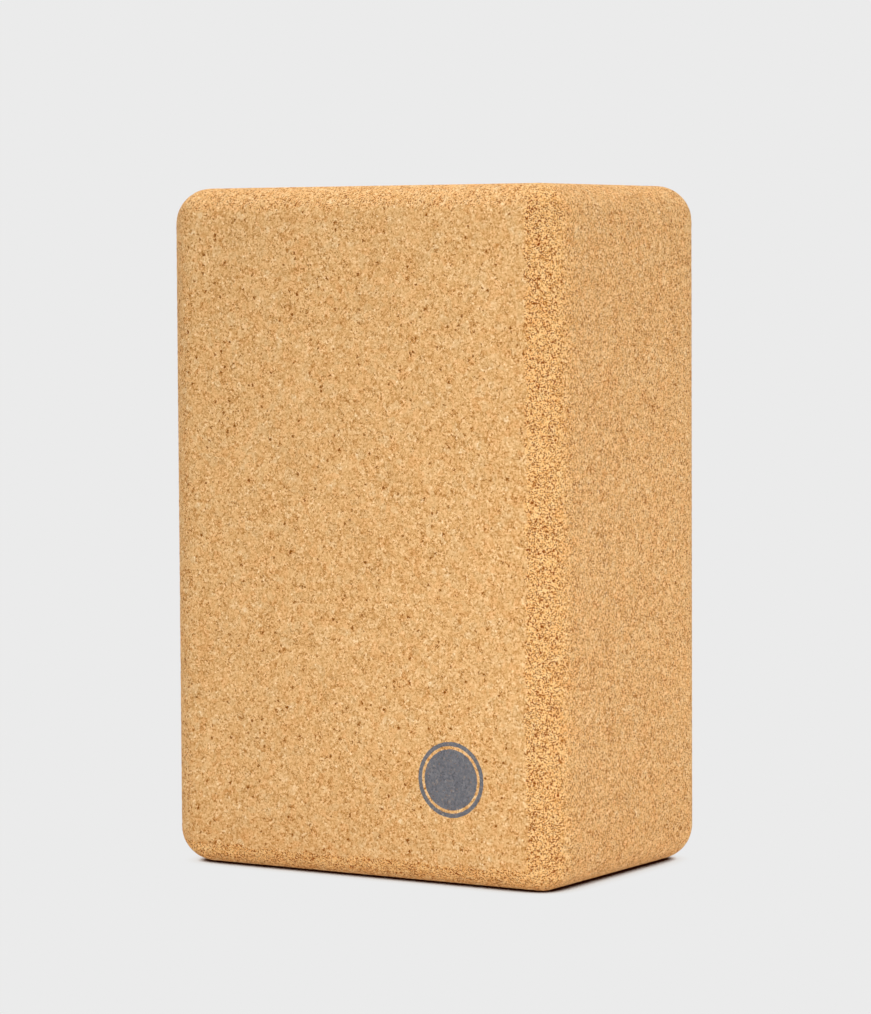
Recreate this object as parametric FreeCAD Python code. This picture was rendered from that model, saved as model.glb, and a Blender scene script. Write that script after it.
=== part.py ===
"""Yoga block of agglomerated cork, standing on one end, with a plain printed roundel.

The block is pressed from cork granules, sawn to size, sanded flat on its six faces and routed
round along all its edges.  The roundel is ink printed low on the broad front face: a disc with
a thin ring round it.  Nothing on the block moves.

Frame: the origin is at the middle of the foot end, +Z is up along the block's length, X runs
across the broad faces and -Y is the way the printed face looks.  Lengths are in millimetres.
"""

import FreeCAD, Part
import os

# Block, sawn and sanded
BLOCK_WIDTH = 152.4  # across a broad face
BLOCK_THICKNESS = 101.6  # from the printed face to the back
BLOCK_LENGTH = 228.6  # stands upright
EDGE_RADIUS = 12.0  # of the round-over along all twelve edges

# Roundel, printed in one pass
ROUNDEL_DIAMETER = 24.8  # over the ring
RING_WIDTH = 1.4
BARE_GAP = 1.0  # cork left bare between the ring and the disc
ROUNDEL_FROM_SIDE = 39.1  # its centre, in from the right side
ROUNDEL_FROM_FOOT = 35.6  # its centre, up from the foot end
INK_DEPTH = 0.2  # how deep the ink soaks into the sanded face

CUT_OVERRUN = 1.0  # how far every cutter reaches out of the face it cuts

PARTS_FOLDER = "parts"

# Places that follow from the sizes above
FRONT_Y = -BLOCK_THICKNESS / 2
ROUNDEL_X = BLOCK_WIDTH / 2 - ROUNDEL_FROM_SIDE
ROUNDEL_Z = ROUNDEL_FROM_FOOT
RING_OUTER_RADIUS = ROUNDEL_DIAMETER / 2
RING_INNER_RADIUS = RING_OUTER_RADIUS - RING_WIDTH
DISC_RADIUS = RING_INNER_RADIUS - BARE_GAP


def front_cylinder(radius, reach_out):
    """A round plug on the roundel's axis, from the ink's full depth out to reach_out before the face."""
    base = FreeCAD.Vector(ROUNDEL_X, FRONT_Y + INK_DEPTH, ROUNDEL_Z)
    outwards = FreeCAD.Vector(0, -1, 0)
    return Part.makeCylinder(radius, INK_DEPTH + reach_out, base, outwards)


def disc_shape(reach_out):
    """The roundel's solid middle."""
    return front_cylinder(DISC_RADIUS, reach_out)


def ring_shape(reach_out):
    """The roundel's thin border."""
    return front_cylinder(RING_OUTER_RADIUS, reach_out).cut(front_cylinder(RING_INNER_RADIUS, reach_out))


def cork_block():
    """The whole cork body: a sanded box, rounded along every edge, with a seat for each ink film."""
    corner = FreeCAD.Vector(-BLOCK_WIDTH / 2, -BLOCK_THICKNESS / 2, 0)
    sawn = Part.makeBox(BLOCK_WIDTH, BLOCK_THICKNESS, BLOCK_LENGTH, corner)
    routed = sawn.makeFillet(EDGE_RADIUS, sawn.Edges)
    return routed.cut(disc_shape(CUT_OVERRUN)).cut(ring_shape(CUT_OVERRUN))


def roundel_disc():
    """The ink of the middle, flush with the sanded face."""
    return disc_shape(0)


def roundel_ring():
    """The ink of the border, flush with the sanded face."""
    return ring_shape(0)


def main():
    os.makedirs(PARTS_FOLDER, exist_ok=True)
    for make_piece in (cork_block, roundel_disc, roundel_ring):
        shape = make_piece()
        for solid in shape.Solids:
            print(make_piece.__name__, "valid", solid.isValid(), "volume", round(solid.Volume, 3))
        shape.exportStep(os.path.join(PARTS_FOLDER, make_piece.__name__ + ".step"))


main()
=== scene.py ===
import math

import bmesh
import bpy
import numpy as np
from mathutils import Matrix, Vector, noise


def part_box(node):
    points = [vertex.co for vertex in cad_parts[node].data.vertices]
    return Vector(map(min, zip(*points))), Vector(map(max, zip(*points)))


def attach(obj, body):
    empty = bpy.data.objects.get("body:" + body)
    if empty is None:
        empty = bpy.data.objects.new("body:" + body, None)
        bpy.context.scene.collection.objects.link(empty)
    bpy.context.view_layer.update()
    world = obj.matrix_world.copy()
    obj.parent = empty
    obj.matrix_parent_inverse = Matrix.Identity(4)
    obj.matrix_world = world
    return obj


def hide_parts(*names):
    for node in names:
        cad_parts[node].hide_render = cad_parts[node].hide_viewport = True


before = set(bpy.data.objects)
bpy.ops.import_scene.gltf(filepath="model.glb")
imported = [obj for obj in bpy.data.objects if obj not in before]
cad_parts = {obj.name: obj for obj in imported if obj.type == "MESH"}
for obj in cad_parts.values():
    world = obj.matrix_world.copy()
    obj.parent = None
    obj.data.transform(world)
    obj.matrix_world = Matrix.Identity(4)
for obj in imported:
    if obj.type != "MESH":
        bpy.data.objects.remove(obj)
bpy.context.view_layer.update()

# Cork body
# One block of agglomerated cork: granules pressed with a binder, sawn to size and sanded on its
# broad faces. A router has rounded every edge, and tears granules out as it goes, so the edges
# are crumbly, the narrow sides and ends a little rough, and the broad faces smooth.

MM = 0.001
EDGE_RADIUS = 12 * MM  # of the round-over

# Mesh and its flat layout
CELL = 2.9 * MM  # on the sanded faces; the sides take half of it and the edges a quarter
EDGE_STEPS = 3  # rows of undivided cells over half a round-over
GUARD = 0.9 * MM  # a narrow row that keeps the crumbs' shading off the sanded faces
LAYOUT_GAP = 2 * MM  # between the faces on the flat layout

# Roughness, from 0, sanded, to 1, badly torn
TORN_EDGE = 1.0  # of the two uprights that the router cuts against the grain
CLEAN_EDGE = 0.25  # of the two others
FOOT_EDGE = 0.8  # of the foot's edges along the broad faces
HEAD_EDGE = 0.45  # of the head's
SIDE_ROUGHNESS = 0.45  # of the sawn sides and ends
SIDE_SHARE = 0.6  # of an edge's roughness, just past it on a sawn side
SIDE_FADE = 16 * MM  # how far that runs

# Where it starts on a round-over, by how far the edge has turned, from 0, flat, to 1, 45 degrees
SANDED_TURN = 0.29  # at the foot and the head, seen from a broad face; the uprights start at 0
EDGE_STRAY = 0.08  # how much later it starts on the average, and twice that at the most
STRAY_LENGTH = 5 * MM  # how far along an edge it strays from early to late
EDGE_ONSET = 0.08  # how much turn it takes to grow to the full
SIDE_ONSET = (0.3, 0.8)  # the same on the half that lies on a sawn side, from and to

# Crumbs that the router leaves
TUFT = 1.4 * MM  # a clump of granules that it tears out or leaves standing
TEAR_DEPTH = 0.4 * MM  # from the highest clump to the deepest tear
TEAR_SEED = 4.0
TORN_OUT = 0.55  # share of that depth where a clump is gone
UNEVEN = 0.2  # share by which clumps differ in height
CREVICE = 0.15  # share between two clumps
FINE_CRUMB = 0.3  # share of the crumbs on a clump
STANDING = 0.35  # share that stands out of the smooth round-over

# Grain: millimetres across, and how much paler or darker it is in tones, where all cork spans 1
WARP_LENGTH = 1.1  # of the soft noise that bends every outline
WARP = 0.7  # how far it bends them
DUST = 0.42
DUST_SWING = 0.34
GRIT = 0.62
GRIT_SWING = 0.38
FIBRE = 0.4  # soft, in and across the grit
FIBRE_SWING = 0.42
PATCH = 3.0  # areas where all three are weaker or stronger
PATCH_LEAST = 0.7
PATCH_SWING = 0.6
GRANULE = 2.4  # of one hue each
DRIFT = 12.0  # slow change of hue over the block
HUE_SWING = 0.1
CHIP = 0.9  # pale
CHIP_SHARE = 0.12
CHIP_TONE = 0.4
FLAKE = 3.0  # ashen
FLAKE_SHARE = 0.16
FLAKE_TONE = 0.12
BARK = 1.25  # dark
BARK_SHARE = 0.06
SANDED_BARK = 0.75  # tones darker on a sanded face
SAWN_BARK = 0.35  # tones darker on a sawn one, where the saw has blurred it
RAGGED_RIM = 1.5  # how ragged chips, flakes and bark are
GRIT_HEIGHT = 0.5
FIBRE_HEIGHT = 0.8
MEAN_HEIGHT = 0.65  # of those two together

# Torn cork, where crumbs stand apart with holes between them
CRUMB = 0.3
CRUMB_SWING = 0.6
CRUMB_TONE = 0.36  # paler than sanded cork
# Holes are darker partly from the torn cork's own colour and binder, partly from painted shade in them
HOLE_SHADE_AND_DEPTH = 1.5  # darker and lower than that
HOLE_DRAW = 0.75  # what a crumb draws, out of 1, from which it begins to be a hole
TORN_DRAW = 0.5  # the same where the cork is badly torn
LOW_PULL = 0.6  # how much more often a hole is in a low place

# Tints that multiply the colour of the grain: its own hues, and painted shade on the sides and in holes
AMBER = (1.0, 0.92, 0.85, 1)
ASHEN = (0.96, 1.01, 1.09, 1)
# Painted shade: the sawn sides and round-overs take a warmer, deeper colour, as sides in less light look
SIDE_SHADE_TINT = (0.985, 0.925, 0.84, 1)
TORN_TINT = (1.0, 0.945, 0.8, 1)
# Painted shade: holes warmer and deeper in colour, as where light bounces from cork to cork
HOLE_SHADE_TINT = (1.0, 0.65, 0.25, 1)

block_low, block_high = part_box("cork_block")
block_half = np.array(block_high - block_low) / 2
block_centre = np.array(block_high + block_low) / 2
flat_half = block_half - EDGE_RADIUS


def stations(half):
    """Places along one side of the sawn box: even on the flat, equal arcs over the round-overs."""
    flat = half - EDGE_RADIUS
    count = round(2 * (flat - GUARD) / CELL)
    even = list(np.linspace(-flat + GUARD, flat - GUARD, count + 1))
    angles = [math.pi / 4 * i / EDGE_STEPS for i in range(1, EDGE_STEPS + 1)]
    turn = [flat] + [flat + EDGE_RADIUS * math.tan(angle) for angle in angles]
    return [-place for place in reversed(turn)] + even + turn


def rough_level(place):
    """Times to divide a face of the sawn box: 0 on a broad face, 1 on a side or end, 2 at an edge."""
    past_flat = np.abs(place) > flat_half
    if past_flat.sum() > 1:
        return 2
    return 0 if past_flat[1] else 1


def sawn_box():
    """The box before it is routed, about the origin, with small faces where it will be rough."""
    mesh = bmesh.new()
    corners = {}

    def corner(place):
        """One vertex for all the faces that meet at a place."""
        key = tuple(round(x / MM, 4) for x in place)
        if key not in corners:
            corners[key] = mesh.verts.new(place)
        return corners[key]

    lines = [stations(half) for half in block_half]
    for axis in range(3):
        across, along = (axis + 1) % 3, (axis + 2) % 3
        for side in (-1, 1):
            for a, b in zip(lines[across], lines[across][1:]):
                for c, d in zip(lines[along], lines[along][1:]):
                    ring = []
                    for u, v in ((a, c), (b, c), (b, d), (a, d))[::side]:
                        place = [0, 0, 0]
                        place[axis] = side * block_half[axis]
                        place[across] = u
                        place[along] = v
                        ring.append(corner(place))
                    mesh.faces.new(ring)
    for level in (1, 2):
        edges = set()
        for face in mesh.faces:
            if rough_level(face.calc_center_median()) >= level:
                edges.update(face.edges)
        bmesh.ops.subdivide_edges(mesh, edges=list(edges), cuts=1, use_grid_fill=True)
    return mesh


def smooth_step(low, high, value):
    """0 below low, 1 above high and an even curve between."""
    share = np.clip((value - low) / (high - low), 0, 1)
    return share * share * (3 - 2 * share)


def routed_share(places):
    """How rough the cork is at each place of the sawn box."""
    past_flat = np.clip(np.abs(places) - flat_half, 0, None)
    short_of_edge = np.clip(flat_half - np.abs(places), 0, None)
    sanded = np.isclose(np.abs(places[:, 1]), block_half[1])
    upright = np.where(places[:, 0] * places[:, 1] < 0, TORN_EDGE, CLEAN_EDGE)
    cross = np.where(places[:, 2] < 0, FOOT_EDGE, HEAD_EDGE)
    swing = np.array([noise.noise(Vector(place) / STRAY_LENGTH) for place in places])
    stray = EDGE_STRAY * np.clip(1 + 2 * swing, 0, 2)
    share = np.where(sanded, 0, SIDE_ROUGHNESS)
    for along, roughness, first in ((0, cross, SANDED_TURN), (2, upright, 0)):
        sides = [axis for axis in range(3) if axis != along]
        turn = past_flat[:, sides].min(axis=1) / EDGE_RADIUS
        fade = 1 - smooth_step(0, SIDE_FADE, short_of_edge[:, sides].max(axis=1))
        sawn = SIDE_SHARE * fade + (1 - SIDE_SHARE) * smooth_step(*SIDE_ONSET, turn)
        start = first + stray
        rounded = smooth_step(start, start + EDGE_ONSET, turn)
        share = np.maximum(share, roughness * np.where(sanded, rounded, sawn))
    return share


def flat_layout(mesh, places):
    """A UV map of the six faces side by side, each with its half of the round-overs rolled out."""
    past_flat = np.clip(np.abs(places) - flat_half, 0, None)
    rolled = np.minimum(np.abs(places), flat_half) + EDGE_RADIUS * np.arctan(past_flat / EDGE_RADIUS)
    reach = flat_half + EDGE_RADIUS * math.pi / 4
    rolled = reach + np.copysign(rolled, places)
    wide, thick, tall = 2 * reach + LAYOUT_GAP
    # For each face: the axes that run across and up the layout, and its lower left corner there
    sheets = {
        (1, -1): (0, 2, 0, 0),
        (1, 1): (0, 2, wide, 0),
        (0, -1): (1, 2, 2 * wide, 0),
        (0, 1): (2, 1, 0, tall),
        (2, -1): (1, 0, tall, tall),
        (2, 1): (1, 0, tall + thick, tall),
    }
    layer = mesh.uv_layers.new(name="OFBake")
    spots = np.empty((len(mesh.loops), 2))
    for face in mesh.polygons:
        corners = list(face.vertices)
        axis = int(np.argmin(np.ptp(places[corners], axis=0)))
        side = int(np.sign(places[corners[0], axis]))
        across, along, left, low = sheets[axis, side]
        turns = slice(face.loop_start, face.loop_start + face.loop_total)
        spots[turns, 0] = left + rolled[corners, across]
        spots[turns, 1] = low + rolled[corners, along]
    layer.uv.foreach_set("vector", (spots / (tall + 2 * thick)).ravel())


class Wire:
    """An output of a node tree. Operators on it add the Math nodes of the formula that they spell."""

    def __init__(self, graph, socket):
        self.graph = graph
        self.socket = socket

    def __add__(self, other):
        return self.graph.maths("ADD", self, other)

    __radd__ = __add__

    def __sub__(self, other):
        return self.graph.maths("SUBTRACT", self, other)

    def __rsub__(self, other):
        return self.graph.maths("SUBTRACT", other, self)

    def __mul__(self, other):
        return self.graph.maths("MULTIPLY", self, other)

    __rmul__ = __mul__

    def __truediv__(self, other):
        return self.graph.maths("DIVIDE", self, other)

    def __rtruediv__(self, other):
        return self.graph.maths("DIVIDE", other, self)


class Node:
    """A node whose outputs are read by name or number, as wires."""

    def __init__(self, graph, node):
        self.graph = graph
        self.node = node

    def __getitem__(self, name):
        return Wire(self.graph, self.node.outputs[name])


class Graph:
    """A shader or geometry tree that is filled node by node."""

    def __init__(self, tree):
        self.tree = tree

    def node(self, kind, settings=None, inputs=None):
        """A node of that type: its settings are made first, then its sockets' values or links."""
        made = self.tree.nodes.new(kind)
        for name, value in (settings or {}).items():
            if name == "stops":
                for at, colour in value[2:]:
                    made.color_ramp.elements.new(at)
                for element, (at, colour) in zip(made.color_ramp.elements, value):
                    element.position = at
                    element.color = (*colour, 1)
            else:
                setattr(made, name, value)
        for name, value in (inputs or {}).items():
            if isinstance(value, Wire):
                self.tree.links.new(value.socket, made.inputs[name])
            else:
                made.inputs[name].default_value = value
        return Node(self, made)

    def maths(self, operation, *values):
        """A sum on numbers."""
        return self.node("ShaderNodeMath", {"operation": operation}, dict(enumerate(values)))["Value"]

    def vectors(self, operation, *values):
        """A sum on vectors."""
        return self.node("ShaderNodeVectorMath", {"operation": operation}, dict(enumerate(values)))[0]

    def scaled(self, vector, factor):
        """A vector times a number."""
        settings = {"operation": "SCALE"}
        return self.node("ShaderNodeVectorMath", settings, {"Vector": vector, "Scale": factor})[0]

    def eased(self, value, low, high):
        """0 below low, 1 above high and a smooth step between."""
        settings = {"interpolation_type": "SMOOTHSTEP"}
        inputs = {"Value": value, "From Min": low, "From Max": high}
        return self.node("ShaderNodeMapRange", settings, inputs)["Result"]

    def blended(self, share, first, second, how="MIX"):
        """Two colours mixed, or the first one multiplied by a share of the second."""
        # The Mix node's sockets for colours share their names with others, so they go by number
        inputs = {0: share, 6: first, 7: second}
        return self.node("ShaderNodeMix", {"data_type": "RGBA", "blend_type": how}, inputs)[2]

    def cloud(self, place, size, detail):
        """Soft noise with blots about a size across, and finer ones in them."""
        inputs = {"Vector": place, "Scale": 1 / size, "Detail": detail}
        return self.node("ShaderNodeTexNoise", {}, inputs)

    def cells(self, place, size, feature="F1"):
        """Space divided into granules about a size across."""
        inputs = {"Vector": place, "Scale": 1 / size}
        return self.node("ShaderNodeTexVoronoi", {"feature": feature}, inputs)

    def luck(self, cells):
        """Three numbers from 0 to 1 that every granule draws for itself, wherever its middle lies."""
        drawn = self.node("ShaderNodeTexWhiteNoise", {}, {"Vector": cells["Color"]})["Color"]
        return self.node("ShaderNodeSeparateColor", {}, {"Color": drawn})

    def scattered(self, place, size, share, ragged):
        """Up to 1 in a share of the granules of a size, with ragged rims, and 0 in all the others."""
        cells = self.cells(place, size)
        drawn = self.eased(self.luck(cells)["Green"], 1 - share, 1.0)
        return drawn * (1 - self.eased(cells["Distance"] + ragged, 0.2, 0.55))


def routed_tree():
    """Geometry Nodes that round the sawn box's edges and tear crumbs out of what the router has cut."""
    tree = bpy.data.node_groups.new("routed_cork", "GeometryNodeTree")
    tree.interface.new_socket("Geometry", in_out="INPUT", socket_type="NodeSocketGeometry")
    for name, kind in (
        ("Flat half", "NodeSocketVector"),
        ("Centre", "NodeSocketVector"),
        ("Edge radius", "NodeSocketFloat"),
        ("Tuft", "NodeSocketFloat"),
        ("Tear depth", "NodeSocketFloat"),
        ("Seed", "NodeSocketFloat"),
        ("Material", "NodeSocketMaterial"),
    ):
        tree.interface.new_socket(name, in_out="INPUT", socket_type=kind)
    tree.interface.new_socket("Geometry", in_out="OUTPUT", socket_type="NodeSocketGeometry")
    graph = Graph(tree)
    given = graph.node("NodeGroupInput")

    # Each place goes to the nearest one on a smaller box, and then out by the edge radius
    sawn = graph.node("GeometryNodeInputPosition")["Position"]
    low = graph.scaled(given["Flat half"], -1)
    core = graph.vectors("MINIMUM", graph.vectors("MAXIMUM", sawn, low), given["Flat half"])
    outwards = graph.vectors("NORMALIZE", graph.vectors("SUBTRACT", sawn, core))
    smooth = graph.vectors("ADD", core, graph.scaled(outwards, given["Edge radius"]))

    # Clumps torn out, clumps that stand at different heights, and gaps between them, in tufts
    shift = graph.node("ShaderNodeCombineXYZ", {}, {"X": given["Seed"]})["Vector"]
    grain = graph.vectors("ADD", graph.scaled(smooth, 1 / given["Tuft"]), shift)
    grain = graph.vectors("ADD", grain, graph.scaled(graph.cloud(grain, 1.1, 1.0)["Color"], 0.9))
    tuft = graph.cells(grain, 1.0)
    luck = graph.node("ShaderNodeSeparateXYZ", {}, {"Vector": tuft["Color"]})
    torn = graph.eased(luck["X"], 0.6, 0.9) * (1 - graph.eased(tuft["Distance"], 0.3, 0.85))
    gap = 1 - graph.eased(graph.cells(grain, 1.0, "DISTANCE_TO_EDGE")["Distance"], 0.0, 0.2)
    fine = graph.cloud(grain, 0.6, 2.0)["Fac"]
    depth = torn * TORN_OUT + luck["Y"] * UNEVEN + gap * CREVICE + fine * FINE_CRUMB - STANDING
    rough = graph.node(
        "GeometryNodeInputNamedAttribute", {"data_type": "FLOAT"}, {"Name": "routed"}
    )["Attribute"]
    tear = depth * rough

    place = graph.vectors("SUBTRACT", smooth, graph.scaled(outwards, tear * given["Tear depth"]))
    inputs = {"Geometry": given["Geometry"], "Position": graph.vectors("ADD", place, given["Centre"])}
    moved = graph.node("GeometryNodeSetPosition", {}, inputs)["Geometry"]
    whole = graph.node("GeometryNodeRealizeInstances", {}, {"Geometry": moved})["Geometry"]
    inputs = {"Geometry": whole, "Material": given["Material"]}
    finished = graph.node("GeometryNodeSetMaterial", {}, inputs)["Geometry"]
    graph.node("NodeGroupOutput", {}, {"Geometry": finished})
    return tree


def srgb(red, green, blue):
    """A colour as it is seen on screen, from 0 to 255, as the linear values that a shader takes."""
    return tuple(((c / 255 + 0.055) / 1.055) ** 2.4 for c in (red, green, blue))


def grain_place(graph):
    """Where a point is on the block in millimetres, bent so that no granule has straight sides."""
    place = graph.scaled(graph.node("ShaderNodeTexCoord")["Object"], 1 / MM)
    bend = graph.cloud(place, WARP_LENGTH, 1.0)["Color"]
    return graph.vectors("ADD", place, graph.scaled(bend, WARP))


def cork_grain(graph, place, bark):
    """Cork at each place: how pale it is, how its hue leans and how high it stands."""
    dust = graph.luck(graph.cells(place, DUST))["Red"]
    grit = graph.luck(graph.cells(place, GRIT))
    granule = graph.luck(graph.cells(place, GRANULE))
    fibre = graph.cloud(place, FIBRE, 2.0)["Fac"]
    drift = graph.cloud(place, DRIFT, 2.0)["Fac"]
    patch = graph.eased(graph.cloud(place, PATCH, 1.0)["Fac"], 0.3, 0.7) * PATCH_SWING + PATCH_LEAST
    grain = (dust - 0.5) * DUST_SWING + (grit["Red"] - 0.5) * GRIT_SWING + (fibre - 0.5) * FIBRE_SWING
    ragged = (fibre - 0.5) * RAGGED_RIM
    chips = graph.scattered(place, CHIP, CHIP_SHARE, ragged) * CHIP_TONE
    flecks = graph.scattered(place, BARK, BARK_SHARE, ragged) * bark
    flake = graph.scattered(place, FLAKE, FLAKE_SHARE, ragged)
    tone = 0.5 + grain * patch + (granule["Red"] + drift - 1) * HUE_SWING
    tone = tone + chips + flake * FLAKE_TONE - flecks
    lean = granule["Blue"] * 0.5 + drift * 0.5 - flake * 0.5
    height = grit["Blue"] * GRIT_HEIGHT + fibre * FIBRE_HEIGHT
    return tone, lean, height


def cork_colour(graph, tone, lean):
    """Cork's colour from its tone, 0 bark to 1 the palest chip, and its lean, 0 ashen to 1 amber."""
    stops = [
        (0.0, srgb(136, 76, 20)),
        (0.25, srgb(192, 134, 70)),
        (0.5, srgb(223, 174, 114)),
        (0.75, srgb(239, 199, 144)),
        (1.0, srgb(250, 220, 174)),
    ]
    colour = graph.node("ShaderNodeValToRGB", {"stops": stops}, {"Fac": tone})["Color"]
    colour = graph.blended(graph.eased(lean, 0.5, 0.9), colour, AMBER, "MULTIPLY")
    return graph.blended(1 - graph.eased(lean, 0.1, 0.5), colour, ASHEN, "MULTIPLY")


def new_material(name):
    """A material with an empty node tree, and the graph that fills it."""
    material = bpy.data.materials.new(name)
    material.use_nodes = True
    material.node_tree.nodes.clear()
    return material, Graph(material.node_tree)


def cork():
    """Grit in straw and tan, with bark and pale chips, and warmer and full of holes where it is torn,
    with painted shade in the holes and on the sawn sides and round-overs.
    """
    material, graph = new_material("cork")
    routed = graph.node("ShaderNodeAttribute", {"attribute_name": "routed"})["Fac"]
    unsanded = graph.eased(routed, 0.0, SIDE_ROUGHNESS)
    place = grain_place(graph)
    bark = SANDED_BARK - unsanded * (SANDED_BARK - SAWN_BARK)
    tone, lean, height = cork_grain(graph, place, bark)
    crumb = graph.luck(graph.cells(place, CRUMB))
    draw = crumb["Green"] + (MEAN_HEIGHT - height) * LOW_PULL
    hole = graph.eased(draw, HOLE_DRAW - routed * (HOLE_DRAW - TORN_DRAW), 1.0)
    # Holes darken the tone: partly the torn cork's own colour, partly painted shade
    tone = tone + routed * ((crumb["Red"] - 0.5) * CRUMB_SWING + CRUMB_TONE - hole * HOLE_SHADE_AND_DEPTH)
    height = height + routed * (crumb["Blue"] - hole * HOLE_SHADE_AND_DEPTH)
    colour = cork_colour(graph, tone, lean)
    # Painted shade on the sawn sides and round-overs
    colour = graph.blended(unsanded, colour, SIDE_SHADE_TINT, "MULTIPLY")
    colour = graph.blended(graph.eased(routed, 0.4, 0.8), colour, TORN_TINT, "MULTIPLY")
    # Painted shade in the holes
    colour = graph.blended(routed * hole, colour, HOLE_SHADE_TINT, "MULTIPLY")
    bump = graph.node("ShaderNodeBump", {}, {"Height": height, "Strength": 0.5, "Distance": 0.15 * MM})
    look = {
        "Base Color": colour,
        "Roughness": 0.9,
        "Specular IOR Level": 0.1,
        "Normal": bump["Normal"],
    }
    shader = graph.node("ShaderNodeBsdfPrincipled", {}, look)["BSDF"]
    graph.node("ShaderNodeOutputMaterial", {}, {"Surface": shader})
    return material


def new_piece(name, mesh):
    """An object at the origin, with its place in its mesh."""
    piece = bpy.data.objects.new(name, mesh)
    bpy.context.scene.collection.objects.link(piece)
    return piece


def cork_body():
    """The sawn box, with its roughness and its flat layout, after the router has been round it."""
    mesh = bpy.data.meshes.new("cork_body")
    sawn = sawn_box()
    sawn.to_mesh(mesh)
    sawn.free()
    places = np.empty(len(mesh.vertices) * 3)
    mesh.vertices.foreach_get("co", places)
    places = places.reshape(-1, 3)
    share = mesh.attributes.new("routed", "FLOAT", "POINT")
    share.data.foreach_set("value", routed_share(places))
    flat_layout(mesh, places)

    piece = new_piece("cork_body", mesh)
    routing = piece.modifiers.new("routed", "NODES")
    routing.node_group = routed_tree()
    values = {
        "Flat half": flat_half,
        "Centre": block_centre,
        "Edge radius": EDGE_RADIUS,
        "Tuft": TUFT,
        "Tear depth": TEAR_DEPTH,
        "Seed": TEAR_SEED,
        "Material": cork(),
    }
    for socket in routing.node_group.interface.items_tree:
        if socket.name in values:
            value = values[socket.name]
            routing[socket.identifier] = list(value) if isinstance(value, np.ndarray) else value
    seen = piece.evaluated_get(bpy.context.evaluated_depsgraph_get())
    routed_mesh = bpy.data.meshes.new_from_object(seen)
    piece.modifiers.remove(routing)
    piece.data = routed_mesh
    routed_mesh.shade_smooth()
    return piece


body = cork_body()
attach(body, "root")
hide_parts("cork_block")

# Roundel disc
# The middle of the print low on the front face: grey ink, pressed on in one pass. It soaks into
# the cork, so it is as matte as the cork is, and the granules still show through it.

INK_PROUD = 0.05 * MM  # what stands on the face
INK_RIM = 0.4 * MM  # how far in from its rims the film reaches that thickness
THIN_SHARE = 0.3  # of it, at the rims
INK_CELL = 0.8 * MM
INK_ROWS = 4  # of cells from rim to rim, at the least
INK_STEPS = 168  # round the roundel
RAGGED = 0.15 * MM  # how far the ink's outline strays round the granules
RAGGED_SEED = 7.0
SAME_PLACE = 0.001 * MM

INK_BARK = 0.4  # tones by which bark is darker under the ink
DARK_INK = srgb(80, 81, 88)  # over bark
PALE_INK = srgb(128, 128, 132)  # over the palest chips
PINHOLE_SHARE = 0.2  # of the cork's own colour that shows in a pinhole


def ink():
    """Slate grey ink, thin enough to show the granules, with pinholes over the deepest gaps."""
    material, graph = new_material("grey_ink")
    tone, lean, height = cork_grain(graph, grain_place(graph), INK_BARK)
    covered = graph.blended(tone, (*DARK_INK, 1), (*PALE_INK, 1))
    bare = (1 - graph.eased(height, 0.3, 0.5)) * PINHOLE_SHARE
    bump = graph.node("ShaderNodeBump", {}, {"Height": height, "Strength": 0.5, "Distance": 0.1 * MM})
    look = {
        "Base Color": graph.blended(bare, covered, cork_colour(graph, tone, lean)),
        "Roughness": 0.85,
        "Specular IOR Level": 0.25,
        "Normal": bump["Normal"],
    }
    shader = graph.node("ShaderNodeBsdfPrincipled", {}, look)["BSDF"]
    graph.node("ShaderNodeOutputMaterial", {}, {"Surface": shader})
    return material


def ink_film(name, node, inner):
    """A closed film in the place of an ink node, from an inner radius out, thin at its ragged rims."""
    low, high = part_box(node)
    centre = (low + high) / 2
    outer = (high.x - low.x) / 2
    rows = max(INK_ROWS, round((outer - inner) / INK_CELL))
    film = bmesh.new()
    rings = []
    for row in range(rows + 1):
        radius = inner + (outer - inner) * row / rows
        ring = []
        for step in range(INK_STEPS):
            angle = 2 * math.pi * step / INK_STEPS
            way = Vector((math.cos(angle), 0, math.sin(angle)))
            stray = RAGGED * noise.noise(way * radius / MM + Vector((0, RAGGED_SEED, 0)))
            place = centre + way * (radius + stray * radius / outer)
            ring.append(film.verts.new((place.x, high.y, place.z)))
        rings.append(ring)
    for near, far in zip(rings, rings[1:]):
        for step in range(INK_STEPS):
            after = (step + 1) % INK_STEPS
            film.faces.new((near[step], near[after], far[after], far[step]))
    bmesh.ops.remove_doubles(film, verts=film.verts[:], dist=SAME_PLACE)
    grown = bmesh.ops.extrude_face_region(film, geom=film.faces[:], use_keep_orig=True)
    for vertex in grown["geom"]:
        if isinstance(vertex, bmesh.types.BMVert):
            radius = math.hypot(vertex.co.x - centre.x, vertex.co.z - centre.z)
            to_rim = min(outer - radius, radius - inner if inner else outer)
            vertex.co.y = low.y - INK_PROUD * min(max(to_rim / INK_RIM, THIN_SHARE), 1)
    bmesh.ops.recalc_face_normals(film, faces=film.faces[:])
    mesh = bpy.data.meshes.new(name)
    film.to_mesh(mesh)
    film.free()
    mesh.materials.append(grey_ink)
    piece = new_piece(name, mesh)
    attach(piece, "root")
    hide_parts(node)


grey_ink = ink()
ink_film("ink_disc", "roundel_disc", 0)

# Roundel ring
# The border of the print, a thin ring of the same grey ink round the disc. It is pressed on in
# the same pass, and leaves a line of bare cork inside it.

RING_WIDTH = 1.4 * MM

ring_low, ring_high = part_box("roundel_ring")
ink_film("ink_ring", "roundel_ring", (ring_high.x - ring_low.x) / 2 - RING_WIDTH)

# Stage
# A plain pale floor that the block stands on, soft studio light from above and from three sides,
# and the camera where the photograph was taken from.

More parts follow.
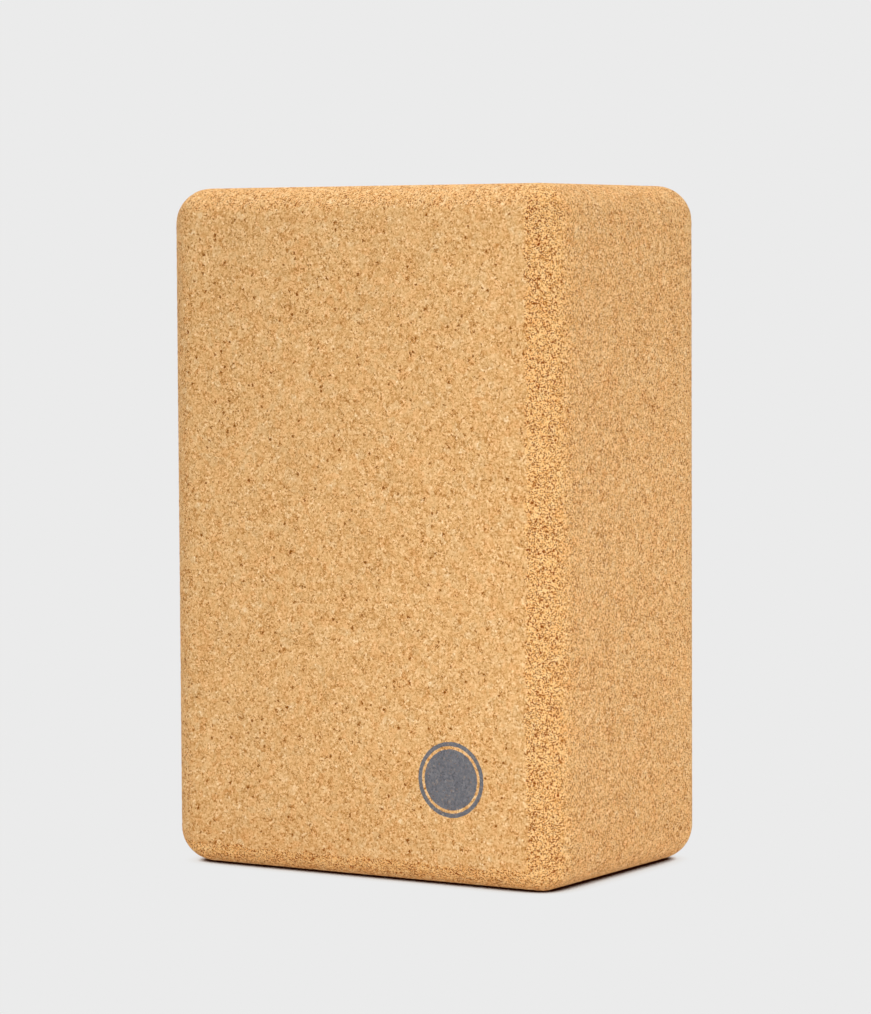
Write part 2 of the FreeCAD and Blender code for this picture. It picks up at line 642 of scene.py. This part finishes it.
PALE = srgb(235, 235, 235)
SHADED = srgb(226, 221, 216)  # the floor beside the block, warm from the light that comes off the cork
BOUNCED = srgb(140, 100, 72)  # just under the round-over, where all the light comes off the cork
CONTACT = srgb(28, 6, 0)  # further in, where next to no light gets
SHADOW_REACH = 16 * MM
SKY_SAMPLES = 16
FLOOR_REACH = 60.0
# The floor glows a little of its own: painted light that lights the block from below
GLOW_SHARE = 0.15  # of what the floor sends up to the block, the same all over it
GLOW_LIGHT = 2.0
FILL = 0.33  # light from all round
MIDDLE = Vector((0, 0, 0.11))  # where the lamps look

CAMERA_PLACE = (0.6972, -1.1169, 0.2039)
CAMERA_AZIMUTH = 31.9694  # degrees to the right of the front face
CAMERA_PITCH = 3.627  # degrees that it looks down
CAMERA_ROLL = -0.308
LENS = 137.98  # millimetres, on a sensor of the width below
SENSOR_WIDTH = 36.0
CLIP_END = 200.0


def seen_directly(graph):
    """1 where a surface is looked at, straight, in a mirror or through glass; 0 where it gives light."""
    path = graph.node("ShaderNodeLightPath")
    return path["Is Camera Ray"] + path["Is Glossy Ray"] + path["Is Transmission Ray"]


def pale_floor():
    """A floor in one pale colour that runs to the horizon, with a painted soft shadow at the block's foot
    and a glow of its own that lights the block from below.
    """
    mesh = bpy.data.meshes.new("floor")
    reach = FLOOR_REACH
    corners = [(-2 * reach, -reach, 0), (2 * reach, -reach, 0), (0, 2 * reach, 0)]
    mesh.from_pydata(corners, [], [(0, 1, 2)])
    material, graph = new_material("pale_floor")
    settings = {"samples": SKY_SAMPLES}
    # Painted shadow: the floor's colour darkens where less of the sky is open round the block's foot
    sky = graph.node("ShaderNodeAmbientOcclusion", settings, {"Distance": SHADOW_REACH})["AO"]
    stops = [(0.16, CONTACT), (0.22, BOUNCED), (0.28, SHADED), (0.55, PALE)]
    colour = graph.node("ShaderNodeValToRGB", {"stops": stops}, {"Fac": sky})["Color"]
    shown = graph.node("ShaderNodeEmission", {}, {"Color": colour})["Emission"]
    lit = graph.node("ShaderNodeBsdfDiffuse", {}, {"Color": (*PALE, 1)})["BSDF"]
    # The floor's glow, painted light from below
    inputs = {"Color": (*PALE, 1), "Strength": GLOW_LIGHT}
    even = graph.node("ShaderNodeEmission", {}, inputs)["Emission"]
    given = graph.node("ShaderNodeMixShader", {}, {0: GLOW_SHARE, 1: lit, 2: even})["Shader"]
    inputs = {0: seen_directly(graph), 1: given, 2: shown}
    surface = graph.node("ShaderNodeMixShader", {}, inputs)["Shader"]
    graph.node("ShaderNodeOutputMaterial", {}, {"Surface": surface})
    mesh.materials.append(material)
    floor = new_piece("floor", mesh)


def fill_light():
    """An even weak light from all round, in front of a pale backdrop."""
    world = bpy.data.worlds.new("studio")
    bpy.context.scene.world = world
    world.use_nodes = True
    world.node_tree.nodes.clear()
    graph = Graph(world.node_tree)
    inputs = {"Strength": FILL, "Color": (1, 1, 1, 1)}
    fill = graph.node("ShaderNodeBackground", {}, inputs)["Background"]
    inputs = {"Strength": 1.0, "Color": (*PALE, 1)}
    pale = graph.node("ShaderNodeBackground", {}, inputs)["Background"]
    inputs = {0: seen_directly(graph), 1: fill, 2: pale}
    shown = graph.node("ShaderNodeMixShader", {}, inputs)["Shader"]
    graph.node("ShaderNodeOutputWorld", {}, {"Surface": shown})


def softbox(name, azimuth, height, distance, size, strength):
    """A square lamp turned to the block; at strength 1 it lights a white card there to full white."""
    lamp = bpy.data.lights.new(name, "AREA")
    lamp.size = size
    lamp.energy = strength * (math.pi * distance) ** 2
    box = bpy.data.objects.new(name, lamp)
    bpy.context.scene.collection.objects.link(box)
    box.visible_camera = False
    azimuth, height = math.radians(azimuth), math.radians(height)
    towards = Vector((
        math.sin(azimuth) * math.cos(height), -math.cos(azimuth) * math.cos(height), math.sin(height)
    ))
    box.location = MIDDLE + towards * distance
    box.rotation_mode = "QUATERNION"
    box.rotation_quaternion = (-towards).to_track_quat("-Z", "Y")


def photo_camera():
    """The camera of the photograph: a long lens, above the middle of the block, looking down a little."""
    camera = bpy.data.cameras.new("camera")
    camera.sensor_width = SENSOR_WIDTH
    camera.lens = LENS
    camera.clip_end = CLIP_END
    view = bpy.data.objects.new("camera", camera)
    bpy.context.scene.collection.objects.link(view)
    azimuth, pitch, roll = map(math.radians, (CAMERA_AZIMUTH, CAMERA_PITCH, CAMERA_ROLL))
    ahead = Vector((
        -math.sin(azimuth) * math.cos(pitch), math.cos(azimuth) * math.cos(pitch), -math.sin(pitch)
    ))
    level = Vector((math.cos(azimuth), math.sin(azimuth), 0))
    above = level.cross(ahead)
    right = math.cos(roll) * level + math.sin(roll) * above
    up = math.cos(roll) * above - math.sin(roll) * level
    turn = Matrix((right, up, -ahead)).transposed()
    view.matrix_world = Matrix.Translation(CAMERA_PLACE) @ turn.to_4x4()
    bpy.context.scene.camera = view


pale_floor()
fill_light()
softbox("overhead", azimuth=0, height=89.9, distance=0.8, size=0.5, strength=0.84)
softbox("front", azimuth=30, height=-2, distance=0.6, size=0.17, strength=0.39)
softbox("right", azimuth=115, height=-2, distance=0.6, size=0.17, strength=0.2)
softbox("back", azimuth=-110, height=15, distance=1.0, size=0.5, strength=0.34)
photo_camera()
bpy.context.scene.view_settings.view_transform = "Standard"
